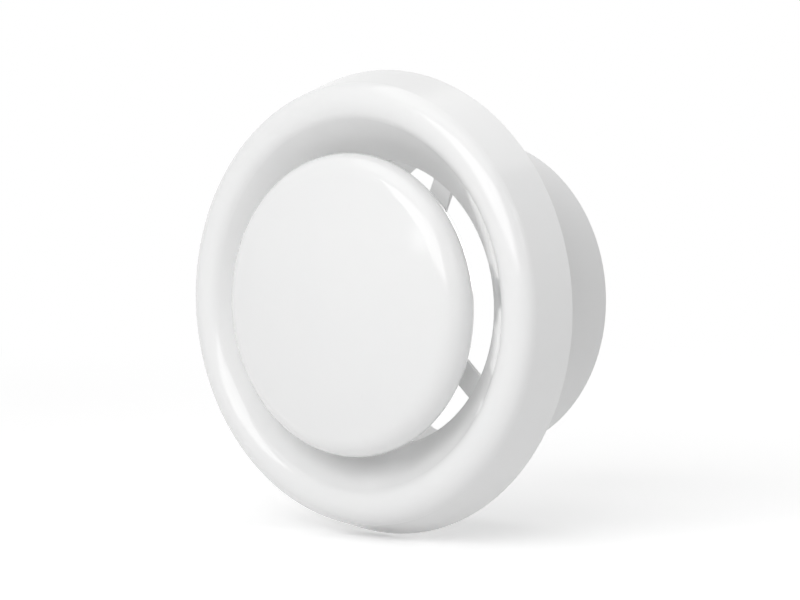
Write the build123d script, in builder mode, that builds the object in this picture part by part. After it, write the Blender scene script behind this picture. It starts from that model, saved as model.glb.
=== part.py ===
from build123d import *
import os
from math import acos, atan2, cos, hypot, pi, radians, sin, sqrt

# Adjustable disc valve for a 100 mm round duct. Millimetres, +Z up, valve axis along Y.
# The wall plane is Y = 0: the face looks along -Y and the collar runs back into the duct along +Y.

# Mounting collar: the tube that goes into the duct, with a flange under the ring. Its radius sets the other widths.
collar_radius = 49.5
collar_wall = 1.5
collar_end_y = 47.5
collar_end_chamfer = 0.6
flange_overhang = 12.5
flange_thickness = 2.0
screw_count = 4
screw_first_angle = 11.7
screw_hole_radius = 2.2
screw_head_radius = 4.2
screw_head_angle = 90.0

# Valve ring: one moulding with an ogee section, a neck, a four-arm bridge and a threaded hub
ring_overhang = 21.5
ring_height = 16.9
rim_round = 6.4
wall_draft = radians(17.0)
ring_skin = 2.0
throat_edge_y = -1.8
cove_round = 92.2
neck_end_y = 12.0
seal_gap = 2.4
arm_count = 4
first_arm_angle = 56.7
arm_width = 7.8
arm_thickness = 1.2
arm_lean = 0.253
arm_set_in = 0.2
web_thickness = 2.0
web_setback = 2.0
hub_radius = 9.0
hub_length = 14.0

# Bayonet that holds the ring in the collar
bayonet_count = 3
bayonet_first_angle = 101.7
bayonet_span = 24.0
catch_front_y = 6.0
catch_thickness = 2.0
lug_thickness = 2.4

# Control disc: a hollow domed cap with a central boss and radial ribs
disc_overlap = 2.3
disc_edge_y = -16.65
disc_edge_round = 7.1
disc_edge_turn = radians(30.0)
dome_round = 160.0
disc_skin = 2.0
boss_radius = 7.5
boss_end_y = -13.0
rib_count = 6
rib_thickness = 1.6
rib_edge_y = -17.0

# Screw hardware, M8
spindle_radius = 4.0
spindle_front_y = -23.5
spindle_end_chamfer = 0.8
nut_across_flats = 13.0
disc_nut_height = 4.0
lock_nut_height = 6.5
nut_corner_ease = 0.6
washer_radius = 8.0
washer_thickness = 1.6

# How far the disc screws in and out from rest, and how far the lock nut backs off
travel_in = 9.0
travel_out = 7.0
nut_release = 3.75

# Clearances
thread_clearance = 0.05
washer_clearance = 0.2
bayonet_clearance = 0.4
seal_clearance = 0.3
hub_clearance = 1.5
spare_thread = 1.6

# Places that follow from the sizes above
collar_bore_radius = collar_radius - collar_wall
flange_radius = collar_radius + flange_overhang
screw_circle_radius = (collar_radius + flange_radius) / 2
ring_radius = collar_radius + ring_overhang
neck_radius = collar_bore_radius - seal_gap
throat_radius = neck_radius - ring_skin
disc_radius = throat_radius + disc_overlap
catch_radius = neck_radius + bayonet_clearance
catch_back_y = catch_front_y + catch_thickness
lug_radius = collar_bore_radius - bayonet_clearance
threaded_bore_radius = spindle_radius + thread_clearance
washer_bore_radius = spindle_radius + washer_clearance
disc_nut_y = boss_end_y + washer_thickness
hub_front_y = disc_nut_y + disc_nut_height + travel_in + hub_clearance
hub_back_y = hub_front_y + hub_length
lock_nut_y = hub_back_y + washer_thickness
spindle_tail_y = lock_nut_y + lock_nut_height + nut_release + travel_out + spare_thread
arm_root_radius = throat_radius + ring_skin / 2
arm_hub_radius = hub_radius - ring_skin


def across(y):
    """Plane square to the valve axis at depth y, facing back along the duct."""
    return Plane(origin=(0, y, 0), x_dir=(1, 0, 0), z_dir=(0, 1, 0))


def along(angle):
    """Half plane through the axis: local x is the radius, local y the depth."""
    turn = radians(angle)
    return Plane(origin=(0, 0, 0), x_dir=(cos(turn), 0, sin(turn)), z_dir=(-sin(turn), 0, cos(turn)))


def even_angles(first, count):
    """Angles of a pattern spread evenly round the axis."""
    return [first + number * 360 / count for number in range(count)]


# Valve ring section: drafted wall, round rim, then a cove down to the sharp throat edge.
# Each function takes the depth under the visible face, so one rule gives both sides of the skin.
rim_centre_y = rim_round - ring_height
rim_centre_r = ring_radius - (rim_round - rim_centre_y * sin(wall_draft)) / cos(wall_draft)
wall_line = (-sin(wall_draft), -cos(wall_draft))

# The cove touches the round rim and ends on the throat edge, so the triangle of the two arc centres and that edge
# gives the slope where rim and cove meet.
edge_run_r = throat_radius - rim_centre_r
edge_run_y = throat_edge_y - rim_centre_y
edge_run = hypot(edge_run_r, edge_run_y)
cove_reach = rim_round + cove_round
rim_corner = acos((cove_reach**2 + edge_run**2 - cove_round**2) / (2 * cove_reach * edge_run))
throat_slope = atan2(edge_run_y, edge_run_r) + rim_corner - pi
throat_line = (-sin(throat_slope), cos(throat_slope))
cove_centre_r = rim_centre_r - cove_reach * cos(throat_slope)
cove_centre_y = rim_centre_y - cove_reach * sin(throat_slope)


def wall_foot(depth):
    """Where the outer wall meets the wall plane."""
    return (ring_radius - depth / cos(wall_draft), 0)


def wall_top(depth):
    """Where the outer wall runs into the round rim."""
    bend = rim_round - depth
    return (rim_centre_r + bend * cos(wall_draft), rim_centre_y - bend * sin(wall_draft))


def throat_top(depth):
    """Where the round rim turns into the cove of the throat."""
    bend = rim_round - depth
    return (rim_centre_r - bend * cos(throat_slope), rim_centre_y - bend * sin(throat_slope))


def throat_foot(depth):
    """Where the cove meets the inside (depth 0) or the outside of the neck."""
    radius = throat_radius + depth
    return (radius, cove_centre_y + sqrt((cove_round + depth) ** 2 - (radius - cove_centre_r) ** 2))


def arm_front(radius):
    """Depth of an arm's front face: just behind the throat edge, leaning back towards the hub."""
    return throat_edge_y + arm_set_in + arm_lean * (throat_radius - radius)


with BuildPart() as valve_ring:
    with BuildSketch(Plane.XY):
        with BuildLine():
            Line(wall_foot(0), wall_top(0))
            TangentArc(wall_top(0), throat_top(0), tangent=wall_line)
            TangentArc(throat_top(0), throat_foot(0), tangent=throat_line)
            Polyline(
                throat_foot(0),
                (throat_radius, neck_end_y),
                (neck_radius, neck_end_y),
                throat_foot(ring_skin),
            )
            TangentArc(throat_top(ring_skin), throat_foot(ring_skin), tangent=throat_line)
            TangentArc(wall_top(ring_skin), throat_top(ring_skin), tangent=wall_line)
            Polyline(wall_top(ring_skin), wall_foot(ring_skin), wall_foot(0))
        make_face()
    revolve(axis=Axis.Y)
    for angle in even_angles(first_arm_angle, arm_count):
        with BuildSketch(along(angle)) as arm_side:
            with BuildLine():
                Polyline(
                    (arm_root_radius, arm_front(arm_root_radius)),
                    (arm_hub_radius, arm_front(arm_hub_radius)),
                    (arm_hub_radius, arm_front(arm_hub_radius) + arm_thickness),
                    (arm_root_radius, arm_front(arm_root_radius) + arm_thickness),
                    close=True,
                )
            make_face()
        extrude(amount=arm_width / 2, both=True)
        with BuildSketch(along(angle)) as web_side:
            with BuildLine():
                Polyline(
                    (arm_root_radius, arm_front(arm_root_radius) + arm_thickness / 2),
                    (arm_hub_radius, arm_front(arm_hub_radius) + arm_thickness / 2),
                    (arm_hub_radius, hub_back_y - web_setback),
                    close=True,
                )
            make_face()
        extrude(amount=web_thickness / 2, both=True)
    with BuildSketch(across(hub_front_y)):
        Circle(hub_radius)
    extrude(amount=hub_length)
    with BuildSketch(across(hub_front_y)):
        Circle(threaded_bore_radius)
    extrude(amount=hub_length, mode=Mode.SUBTRACT)
    for angle in even_angles(bayonet_first_angle + bayonet_span / 2, bayonet_count):
        with BuildSketch(along(angle)):
            with BuildLine():
                Polyline(
                    (arm_root_radius, catch_back_y),
                    (lug_radius, catch_back_y),
                    (lug_radius, catch_back_y + lug_thickness),
                    (arm_root_radius, catch_back_y + lug_thickness),
                    close=True,
                )
            make_face()
        revolve(axis=Axis.Y, revolution_arc=bayonet_span)
valve_ring.part.label = "valve_ring"

# Mounting collar: duct tube, screw flange against the wall and the bayonet catches inside its mouth
with BuildPart() as mounting_collar:
    with BuildSketch(Plane.XY):
        with BuildLine():
            Polyline(
                (collar_bore_radius, -flange_thickness),
                (flange_radius, -flange_thickness),
                (flange_radius, 0),
                (collar_radius, 0),
                (collar_radius, collar_end_y - collar_end_chamfer),
                (collar_radius - collar_end_chamfer, collar_end_y),
                (collar_bore_radius, collar_end_y),
                close=True,
            )
        make_face()
    revolve(axis=Axis.Y)
    for angle in even_angles(bayonet_first_angle + bayonet_span / 2, bayonet_count):
        with BuildSketch(along(angle)):
            with BuildLine():
                Polyline(
                    (catch_radius, catch_front_y),
                    (collar_bore_radius + collar_wall / 2, catch_front_y),
                    (collar_bore_radius + collar_wall / 2, catch_back_y),
                    (catch_radius, catch_back_y),
                    close=True,
                )
            make_face()
        revolve(axis=Axis.Y, revolution_arc=bayonet_span)
    with Locations(Plane.XZ.offset(flange_thickness)):
        with PolarLocations(screw_circle_radius, screw_count, start_angle=screw_first_angle):
            CounterSinkHole(
                screw_hole_radius,
                screw_head_radius,
                depth=flange_thickness,
                counter_sink_angle=screw_head_angle,
            )
mounting_collar.part.label = "mounting_collar"

# Sealing ring: foam strip that fills the gap between the neck and the collar's mouth
with BuildPart() as sealing_ring:
    with BuildSketch(across(0)):
        Circle(collar_bore_radius - seal_clearance)
        Circle(neck_radius + seal_clearance, mode=Mode.SUBTRACT)
    extrude(amount=catch_front_y - seal_clearance)
sealing_ring.part.label = "sealing_ring"

# Control disc section: a dome that runs tangent into a round edge, turned a little past its equator
edge_centre_r = disc_radius - disc_edge_round
dome_reach = dome_round - disc_edge_round
dome_centre_y = disc_edge_y + sqrt(dome_reach**2 - edge_centre_r**2)
dome_side_r = edge_centre_r / dome_reach
dome_side_y = (disc_edge_y - dome_centre_y) / dome_reach
edge_line = (-dome_side_y, dome_side_r)


def dome_depth(radius, depth):
    """Depth of the dome at a radius, measured under its visible face."""
    return dome_centre_y - sqrt((dome_round - depth) ** 2 - radius**2)


def dome_end(depth):
    """Where the dome runs into the round edge."""
    reach = dome_round - depth
    return (dome_side_r * reach, dome_centre_y + dome_side_y * reach)


def edge_end(depth):
    """Where the round edge stops, behind the disc's widest circle."""
    bend = disc_edge_round - depth
    return (edge_centre_r + bend * cos(disc_edge_turn), disc_edge_y + bend * sin(disc_edge_turn))


with BuildPart() as control_disc:
    with BuildSketch(Plane.XY):
        with BuildLine():
            TangentArc((0, dome_depth(0, 0)), dome_end(0), tangent=(1, 0))
            TangentArc(dome_end(0), edge_end(0), tangent=edge_line)
            Line(edge_end(0), edge_end(disc_skin))
            TangentArc(dome_end(disc_skin), edge_end(disc_skin), tangent=edge_line)
            TangentArc((0, dome_depth(0, disc_skin)), dome_end(disc_skin), tangent=(1, 0))
            Line((0, dome_depth(0, disc_skin)), (0, dome_depth(0, 0)))
        make_face()
    revolve(axis=Axis.Y)
    rib_start_r = boss_radius - disc_skin / 2
    rib_middle_r = (rib_start_r + edge_centre_r) / 2
    rib_root = disc_skin / 2
    for angle in even_angles(first_arm_angle, rib_count):
        with BuildSketch(along(angle)):
            with BuildLine():
                ThreePointArc(
                    (rib_start_r, dome_depth(rib_start_r, rib_root)),
                    (rib_middle_r, dome_depth(rib_middle_r, rib_root)),
                    (edge_centre_r, dome_depth(edge_centre_r, rib_root)),
                )
                Polyline(
                    (edge_centre_r, dome_depth(edge_centre_r, rib_root)),
                    (edge_centre_r, rib_edge_y),
                    (rib_start_r, boss_end_y - disc_skin),
                    (rib_start_r, dome_depth(rib_start_r, rib_root)),
                )
            make_face()
        extrude(amount=rib_thickness / 2, both=True)
    boss_root_y = dome_depth(boss_radius, rib_root)
    with BuildSketch(across(boss_root_y)):
        Circle(boss_radius)
    extrude(amount=boss_end_y - boss_root_y)
    with BuildSketch(across(spindle_front_y - thread_clearance)):
        Circle(threaded_bore_radius)
    extrude(amount=boss_end_y - spindle_front_y + thread_clearance, mode=Mode.SUBTRACT)
control_disc.part.label = "control_disc"

# Spindle: threaded rod fixed in the disc's boss, screwed through the hub
with BuildPart() as spindle:
    with BuildSketch(across(spindle_front_y)):
        Circle(spindle_radius)
    extrude(amount=spindle_tail_y - spindle_front_y)
    chamfer(spindle.edges().filter_by(GeomType.CIRCLE), spindle_end_chamfer)
spindle.part.label = "spindle"


def hex_nut(front_y, height):
    """Hexagon nut with eased corners, its front face at front_y."""
    with BuildPart() as nut:
        with BuildSketch(across(front_y)):
            RegularPolygon(nut_across_flats / 2, 6, major_radius=False)
        extrude(amount=height)
        corner_radius = nut_across_flats / 2 / cos(radians(30))
        with BuildSketch(Plane.XY):
            with BuildLine():
                Polyline(
                    (0, front_y),
                    (nut_across_flats / 2, front_y),
                    (corner_radius, front_y + nut_corner_ease),
                    (corner_radius, front_y + height - nut_corner_ease),
                    (nut_across_flats / 2, front_y + height),
                    (0, front_y + height),
                    close=True,
                )
            make_face()
        revolve(axis=Axis.Y, mode=Mode.INTERSECT)
        with BuildSketch(across(front_y)):
            Circle(threaded_bore_radius)
        extrude(amount=height, mode=Mode.SUBTRACT)
    return nut


def flat_washer(front_y):
    """Plain round washer, its front face at front_y."""
    with BuildPart() as washer:
        with BuildSketch(across(front_y)):
            Circle(washer_radius)
            Circle(washer_bore_radius, mode=Mode.SUBTRACT)
        extrude(amount=washer_thickness)
    return washer


# Washer and nut that fix the spindle in the disc's boss
disc_washer = flat_washer(boss_end_y)
disc_washer.part.label = "disc_washer"
disc_nut = hex_nut(disc_nut_y, disc_nut_height)
disc_nut.part.label = "disc_nut"

# Washer and nut that lock the setting against the back of the hub
lock_washer = flat_washer(hub_back_y)
lock_washer.part.label = "lock_washer"
lock_nut = hex_nut(lock_nut_y, lock_nut_height)
lock_nut.part.label = "lock_nut"

os.makedirs("parts", exist_ok=True)
export_step(valve_ring.part, "parts/valve_ring.step")
export_step(mounting_collar.part, "parts/mounting_collar.step")
export_step(sealing_ring.part, "parts/sealing_ring.step")
export_step(control_disc.part, "parts/control_disc.step")
export_step(spindle.part, "parts/spindle.step")
export_step(disc_washer.part, "parts/disc_washer.step")
export_step(disc_nut.part, "parts/disc_nut.step")
export_step(lock_washer.part, "parts/lock_washer.step")
export_step(lock_nut.part, "parts/lock_nut.step")
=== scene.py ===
from math import cos, pi, radians, sin

import bmesh
import bpy
import numpy as np
from mathutils import Matrix, Vector


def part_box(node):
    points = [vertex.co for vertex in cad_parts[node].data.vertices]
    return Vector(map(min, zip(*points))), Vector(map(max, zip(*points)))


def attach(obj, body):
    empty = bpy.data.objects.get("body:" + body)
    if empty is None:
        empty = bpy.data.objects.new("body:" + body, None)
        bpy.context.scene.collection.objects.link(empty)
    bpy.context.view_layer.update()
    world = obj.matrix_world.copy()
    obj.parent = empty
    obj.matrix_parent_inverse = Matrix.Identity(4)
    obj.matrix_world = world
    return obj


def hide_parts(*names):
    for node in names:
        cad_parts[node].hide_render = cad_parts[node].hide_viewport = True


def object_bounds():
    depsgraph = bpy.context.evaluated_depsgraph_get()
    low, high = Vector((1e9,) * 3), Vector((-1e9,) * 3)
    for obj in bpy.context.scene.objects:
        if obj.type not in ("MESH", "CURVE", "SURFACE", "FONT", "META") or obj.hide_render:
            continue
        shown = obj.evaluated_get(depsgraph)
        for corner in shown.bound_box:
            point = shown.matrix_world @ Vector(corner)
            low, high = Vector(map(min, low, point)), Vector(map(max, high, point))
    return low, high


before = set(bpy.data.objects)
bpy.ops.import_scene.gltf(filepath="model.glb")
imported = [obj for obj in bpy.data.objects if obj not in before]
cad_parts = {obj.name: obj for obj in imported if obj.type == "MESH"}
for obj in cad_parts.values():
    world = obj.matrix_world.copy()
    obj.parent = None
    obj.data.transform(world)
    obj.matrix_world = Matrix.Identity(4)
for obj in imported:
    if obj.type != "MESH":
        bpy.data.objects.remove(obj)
solid_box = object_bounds()


# Mounting collar: the tube that is pushed into the duct and screwed to the wall by its flange.
# It is injection moulded in white polypropylene and drawn off its core along the axis,
# which leaves a satin skin with faint lines down its length.
class Wire:
    """A shader socket. Sums on wires add Math nodes, and make() adds any other node."""

    def __init__(self, tree, socket=None):
        self.tree, self.socket = tree, socket

    def make(self, kind, settings=None, inputs=None, output=0):
        """Add a node, set its settings, then give its inputs values or links. Returns one of its outputs."""
        node = self.tree.nodes.new(kind)
        for name, setting in (settings or {}).items():
            setattr(node, name, setting)
        for name, value in (inputs or {}).items():
            if isinstance(value, Wire):
                self.tree.links.new(value.socket, node.inputs[name])
            else:
                node.inputs[name].default_value = value
        return Wire(self.tree, node.outputs[output] if node.outputs else None)

    def math(self, operation, first, second):
        return self.make("ShaderNodeMath", {"operation": operation}, {0: first, 1: second})

    def __add__(self, other):
        return self.math("ADD", self, other)

    def __radd__(self, other):
        return self.math("ADD", other, self)

    def __mul__(self, other):
        return self.math("MULTIPLY", self, other)

    def __rmul__(self, other):
        return self.math("MULTIPLY", other, self)


def new_finish(name):
    """An empty material and the wire that its nodes grow from."""
    material = bpy.data.materials.new(name)
    material.use_nodes = True
    material.node_tree.nodes.clear()
    return material, Wire(material.node_tree)


def show(start, shader):
    """Lead a shader to the material's surface."""
    start.make("ShaderNodeOutputMaterial", inputs={"Surface": shader})


def stretched(start, place, scale):
    """Object coordinates scaled along X, Y and Z, so that a pattern on them runs long or short."""
    return start.make("ShaderNodeMapping", inputs={"Vector": place, "Scale": scale})


def mottle(start, place, scale, detail=2.0):
    """Soft noise from 0 to 1, scale patches to the metre."""
    return start.make("ShaderNodeTexNoise", inputs={"Vector": place, "Scale": scale, "Detail": detail})


def blend(start, amount, low, high):
    """A colour between low and high, which are inputs 6 and 7 of a Mix node. Its colour is output 2."""
    return start.make("ShaderNodeMix", {"data_type": "RGBA"}, {0: amount, 6: low, 7: high}, output=2)


def relief(start, height, depth, strength=1.0):
    """A bump whose height runs from 0 to depth metres."""
    return start.make("ShaderNodeBump", inputs={"Height": height, "Distance": depth, "Strength": strength})


cloud_scale = 38.0
mark_scale = 420.0
peel_scale = 900.0
cool_white = (0.912, 0.915, 0.917, 1)
warm_white = (0.936, 0.936, 0.932, 1)
cloud_dulling = 0.05
mark_dulling = 0.04
peel_dulling = 0.02
peel_share = 0.6
skin_depth = 0.000012


def white_plastic(name, gloss, draw):
    """Moulded white plastic: slow clouds in its tone, marks stretched along the draw, and a faint peel.

    Roughness is gloss plus small shares of the clouds, the draw marks and the peel.
    """
    material, start = new_finish(name)
    place = start.make("ShaderNodeTexCoord", output="Object")
    clouds = mottle(start, place, cloud_scale)
    marks = mottle(start, stretched(start, place, draw), mark_scale)
    peel = mottle(start, place, peel_scale, detail=1.0)
    shader = start.make(
        "ShaderNodeBsdfPrincipled",
        inputs={
            "Base Color": blend(start, clouds, cool_white, warm_white),
            "Roughness": gloss + cloud_dulling * clouds + mark_dulling * marks + peel_dulling * peel,
            "Normal": relief(start, peel_share * peel + (1 - peel_share) * marks, skin_depth),
        },
    )
    show(start, shader)
    return material


def wear(node, material):
    """Give a carried-over solid its finish."""
    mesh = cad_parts[node].data
    mesh.materials.clear()
    mesh.materials.append(material)


collar_gloss = 0.26
along_axis = (1.0, 0.04, 1.0)
wear("mounting_collar", white_plastic("satin_white_plastic", collar_gloss, along_axis))


# Sealing ring: a strip of dark cellular foam, cut to length and glued into a ring.
# It is squeezed between the ring's neck and the mouth of the collar, so that no air passes there.
cell_scale = 1100.0
hollow_grey = (0.09, 0.09, 0.095, 1)
wall_grey = (0.17, 0.17, 0.175, 1)
foam_roughness = 0.92
cell_depth = 0.0004
cell_strength = 0.8


def cell_foam(name):
    """Dark open foam: round cells about a millimetre wide, with walls a little lighter than the hollows."""
    material, start = new_finish(name)
    place = start.make("ShaderNodeTexCoord", output="Object")
    cells = start.make("ShaderNodeTexVoronoi", inputs={"Vector": place, "Scale": cell_scale})
    shader = start.make(
        "ShaderNodeBsdfPrincipled",
        inputs={
            "Base Color": blend(start, cells, hollow_grey, wall_grey),
            "Roughness": foam_roughness,
            "Normal": relief(start, cells, cell_depth, cell_strength),
        },
    )
    show(start, shader)
    return material


wear("sealing_ring", cell_foam("seal_foam_cells"))


# Valve ring: the big moulding that shows on the wall, with its round rim, flared throat, arms and hub.
# It is made of white plastic in one shot, and a part turn locks its bayonet lugs into the collar.
ring_gloss = 0.09
all_ways = (1.0, 1.0, 1.0)
wear("valve_ring", white_plastic("gloss_white_plastic", ring_gloss, all_ways))


# Control disc: the hollow domed cap that opens and closes the valve.
# It is moulded in the same white plastic and polished, with ribs and a threaded boss behind its face.
# The solid's mesh has a wrong normal at the dome's pole, so a welded copy that is right there stands for it.
disc_gloss = 0.05
same_point = 1e-6
out_of_face = (0, -1, 0)


def welded_disc(name, solid):
    """The solid's own triangles, with corners that share a place made one and flat triangles left out.

    Each corner keeps the solid's normal, but on the axis, at the dome's pole, the normal is the axis.
    """
    places = np.empty((len(solid.vertices), 3), np.float32)
    corners = np.empty(len(solid.loops), np.int32)
    normals = np.empty((len(solid.loops), 3), np.float32)
    solid.vertices.foreach_get("co", places.ravel())
    solid.loops.foreach_get("vertex_index", corners)
    solid.corner_normals.foreach_get("vector", normals.ravel())
    normals[np.hypot(places[corners, 0], places[corners, 2]) < same_point] = out_of_face
    _, first, which = np.unique(np.round(places / same_point), axis=0, return_index=True, return_inverse=True)
    triangles = which[corners].reshape(-1, 3)
    whole = (triangles != np.roll(triangles, 1, axis=1)).all(axis=1)
    mesh = bpy.data.meshes.new(name)
    mesh.from_pydata(places[first].tolist(), [], triangles[whole].tolist())
    mesh.shade_smooth()
    mesh.normals_split_custom_set(normals.reshape(-1, 3, 3)[whole].reshape(-1, 3).tolist())
    return mesh


disc_mesh = welded_disc("domed_disc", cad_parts["control_disc"].data)
disc_mesh.materials.append(white_plastic("polished_white_plastic", disc_gloss, all_ways))
domed_disc = bpy.data.objects.new("domed_disc", disc_mesh)
bpy.context.collection.objects.link(domed_disc)
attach(domed_disc, "disc_body")
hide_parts("control_disc")


# Spindle: a zinc plated M8 rod with a rolled thread, fixed in the disc's boss and screwed through the hub.
# The solid is a plain rod, so the thread is made here and stands for it.
patch_scale = 420.0
scratch_scale = 700.0
across_axis = (1.0, 14.0, 1.0)
blue_zinc = (0.40, 0.42, 0.45, 1)
grey_zinc = (0.56, 0.56, 0.55, 1)
zinc_gloss = 0.26
patch_dulling = 0.16
scratch_dulling = 0.08
scratch_depth = 0.00002
scratch_strength = 0.5


def zinc_plate(name):
    """Bright zinc on steel: pale blue-grey patches, and fine scratches across the axis."""
    material, start = new_finish(name)
    place = start.make("ShaderNodeTexCoord", output="Object")
    patches = mottle(start, place, patch_scale, detail=3.0)
    scratches = mottle(start, stretched(start, place, across_axis), scratch_scale)
    shader = start.make(
        "ShaderNodeBsdfPrincipled",
        inputs={
            "Base Color": blend(start, patches, blue_zinc, grey_zinc),
            "Metallic": 1.0,
            "Roughness": zinc_gloss + patch_dulling * patches + scratch_dulling * scratches,
            "Normal": relief(start, scratches, scratch_depth, scratch_strength),
        },
    )
    show(start, shader)
    return material


thread_pitch = 0.00125
thread_depth = 0.000767
end_chamfer = 0.0008
turn_steps = 72
crest_end, root_start, root_end = 0.125, 0.479, 0.646
crease_angle = radians(25)
rod_low, rod_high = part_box("spindle")
crest_radius = rod_high.x


def thread_mesh(name, first_y, last_y):
    """A right-hand thread: one pitch of its profile carried round and along a helix, closed by flat ends.

    At turn angle t and profile station s the point is (r sin t, first_y + pitch (t / 2 pi + s), r cos t).
    r is the profile's radius at s, y stays between the two ends, and near an end r stays under the
    45 degree cone of the chamfer, so that what lies past an end falls on that end's circle.
    """
    turns = int(np.ceil((last_y - first_y) / thread_pitch))
    angle = np.arange(-turn_steps, turns * turn_steps + 1)[:, None] * 2 * pi / turn_steps
    station = np.array([[0.0, crest_end, root_start, root_end, 1.0]])
    profile = crest_radius - thread_depth * np.array([[0, 0, 1, 1, 0]])
    y = np.clip(first_y + thread_pitch * (angle / (2 * pi) + station), first_y, last_y)
    cone = crest_radius - end_chamfer + np.minimum(y - first_y, last_y - y)
    radius = np.minimum(profile, cone)
    grid = np.stack([radius * np.sin(angle), y, radius * np.cos(angle)], axis=-1)
    rows, columns = radius.shape
    corner = (np.arange(rows - 1)[:, None] * columns + np.arange(columns - 1)).ravel()
    quads = np.stack([corner, corner + 1, corner + columns + 1, corner + columns], axis=1)

    around = np.arange(turn_steps) * 2 * pi / turn_steps
    circle = (crest_radius - end_chamfer) * np.stack([np.sin(around), 0 * around, np.cos(around)], axis=1)
    ends = [np.vstack([circle + (0, end, 0), (0, end, 0)]) for end in (first_y, last_y)]
    spoke = np.arange(turn_steps)
    fan = np.stack([spoke, np.roll(spoke, -1), np.full(turn_steps, turn_steps)], axis=1)
    first_fan = rows * columns
    last_fan = first_fan + turn_steps + 1
    faces = quads.tolist() + (first_fan + fan).tolist() + (last_fan + fan[:, ::-1]).tolist()
    mesh = bpy.data.meshes.new(name)
    mesh.from_pydata(np.vstack([grid.reshape(-1, 3), *ends]).tolist(), [], faces)

    shell = bmesh.new()
    shell.from_mesh(mesh)
    bmesh.ops.remove_doubles(shell, verts=shell.verts, dist=same_point)
    bmesh.ops.dissolve_degenerate(shell, edges=shell.edges, dist=same_point)
    bmesh.ops.recalc_face_normals(shell, faces=shell.faces)
    shell.to_mesh(mesh)
    shell.free()
    mesh.shade_smooth()
    mesh.set_sharp_from_angle(angle=crease_angle)
    return mesh


bright_zinc = zinc_plate("bright_zinc_plate")
threaded_rod = bpy.data.objects.new("threaded_rod", thread_mesh("threaded_rod", rod_low.y, rod_high.y))
bpy.context.collection.objects.link(threaded_rod)
threaded_rod.data.materials.append(bright_zinc)
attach(threaded_rod, "disc_body")
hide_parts("spindle")


# Disc nut and washer: an M8 thin nut that clamps the spindle in the disc's boss, over a plain washer.
# Both are steel, the nut cold formed and the washer stamped, and both are zinc plated.
for fastener in ("disc_washer", "disc_nut"):
    wear(fastener, bright_zinc)


# Lock nut and washer: the M8 nut that is turned up against the back of the hub to hold the setting.
# They are the same zinc plated steel.
for fastener in ("lock_washer", "lock_nut"):
    wear(fastener, bright_zinc)


# Floor: a wide sheet of matt white card, on which the valve stands.
# What the camera sees of it is made up to white, so that the valve's shadow alone darkens it.
floor_drop = 0.0004
floor_half = 6.0
card_white = (0.88, 0.88, 0.88, 1)
pure_white = (1, 1, 1, 1)
card_level = 0.66
shadow_reach = 0.25
white_reach = 0.70
floor_z = solid_box[0][2] - floor_drop
floor_mesh = bpy.data.meshes.new("floor")
floor_mesh.from_pydata(
    [(-floor_half, -floor_half, floor_z), (floor_half, -floor_half, floor_z),
     (floor_half, floor_half, floor_z), (-floor_half, floor_half, floor_z)], [], [(0, 1, 2, 3)])
floor = bpy.data.objects.new("floor", floor_mesh)
bpy.context.collection.objects.link(floor)


def plain_rays(start):
    """1 on rays that show a surface to the camera, plainly, mirrored or through glass, and 0 on others."""
    kinds = ("Camera", "Glossy", "Transmission")
    camera, glossy, clear = (start.make("ShaderNodeLightPath", output=f"Is {kind} Ray") for kind in kinds)
    return start.math("MAXIMUM", camera, start.math("MAXIMUM", glossy, clear))


card, start = new_finish("white_card")
away = start.make("ShaderNodeVectorMath", {"operation": "LENGTH"},
                  {0: start.make("ShaderNodeTexCoord", output="Object")}, output="Value")
far = start.make("ShaderNodeMapRange", {"interpolation_type": "SMOOTHSTEP"},
                 {"Value": away, "From Min": shadow_reach, "From Max": white_reach})
matt = start.make("ShaderNodeBsdfDiffuse", inputs={"Color": card_white})
lift = start.make("ShaderNodeEmission", inputs={"Color": pure_white, "Strength": 1 - card_level})
made_up = start.make("ShaderNodeAddShader", inputs={0: matt, 1: lift})
plain_white = start.make("ShaderNodeEmission", inputs={"Color": pure_white, "Strength": 1.0})
seen = start.make("ShaderNodeMixShader", inputs={0: far, 1: made_up, 2: plain_white})
show(start, start.make("ShaderNodeMixShader", inputs={0: plain_rays(start), 1: matt, 2: seen}))
floor_mesh.materials.append(card)


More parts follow.
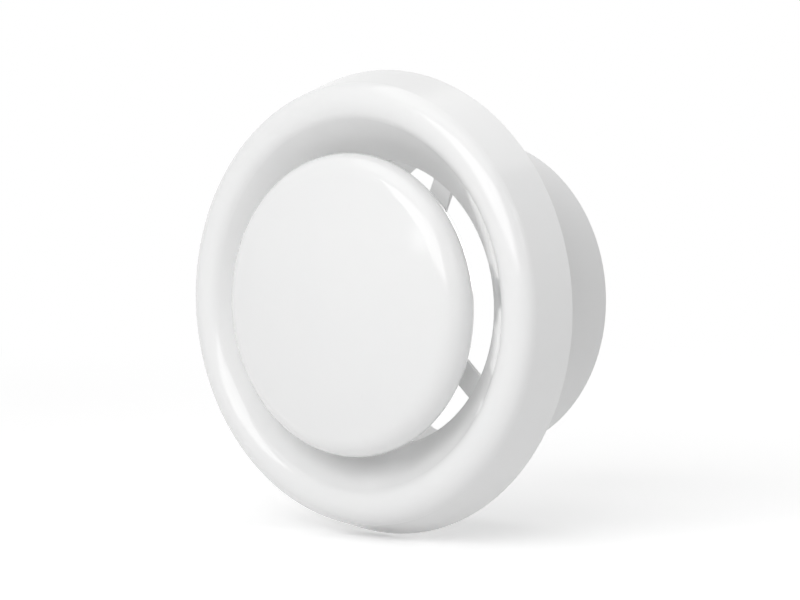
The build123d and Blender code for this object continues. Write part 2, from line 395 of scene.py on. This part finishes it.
# Light: a broad soft lamp in front, a wide one above, a faint narrow one to the right and a small one behind.
# An even white room fills the shade, and the front lamp is what the disc's edge and the rim mirror.
def softbox(name, place, width, height, power):
    """An area lamp at place, turned to face the valve."""
    lamp = bpy.data.lights.new(name, "AREA")
    lamp.shape, lamp.size, lamp.size_y, lamp.energy = "RECTANGLE", width, height, power
    carrier = bpy.data.objects.new(name, lamp)
    carrier.location = place
    carrier.rotation_euler = (-Vector(place)).to_track_quat("-Z", "Y").to_euler()
    bpy.context.collection.objects.link(carrier)


softbox("front_light", place=(0.18, -1.12, 0.63), width=1.24, height=0.9, power=9.1)
softbox("top_light", place=(0.0, 0.0, 1.3), width=1.6, height=1.6, power=6.8)
softbox("right_light", place=(1.0, -0.1, 0.6), width=0.08, height=0.45, power=0.3)
softbox("back_light", place=(-0.25, 1.33, 0.25), width=0.6, height=0.5, power=6.0)

room_level = 0.25
room = bpy.data.worlds.new("white_room")
room.use_nodes = True
room.node_tree.nodes.clear()
start = Wire(room.node_tree)
background = start.make("ShaderNodeBackground", inputs={
    "Color": pure_white, "Strength": room_level + (1 - room_level) * plain_rays(start)})
start.make("ShaderNodeOutputWorld", inputs={"Surface": background})
bpy.context.scene.world = room


# Camera: a long lens to the right of the valve and a little above its axis, as in the photograph.
# Its place and focal length bring the ring's back edge and the collar's end to where they are there.
view_azimuth = radians(39.65)
view_elevation = radians(3.78)
view_distance = 0.852
aim_right = 0.004641
aim_up = 0.000773
focal_pixels = 2783.67
picture_width = 800
sensor_width = 36.0
right = Vector((cos(view_azimuth), sin(view_azimuth), 0))
ahead = Vector((
    -sin(view_azimuth) * cos(view_elevation),
    cos(view_azimuth) * cos(view_elevation),
    -sin(view_elevation),
))
upward = right.cross(ahead)
eye = aim_right * right + aim_up * upward - view_distance * ahead
facing = Matrix((right, upward, -ahead)).transposed().to_4x4()
lens = bpy.data.cameras.new("camera")
lens.sensor_width = sensor_width
lens.lens = focal_pixels * sensor_width / picture_width
camera = bpy.data.objects.new("camera", lens)
camera.matrix_world = Matrix.Translation(eye) @ facing
bpy.context.collection.objects.link(camera)
bpy.context.scene.camera = camera
bpy.context.scene.view_settings.view_transform = "Standard"
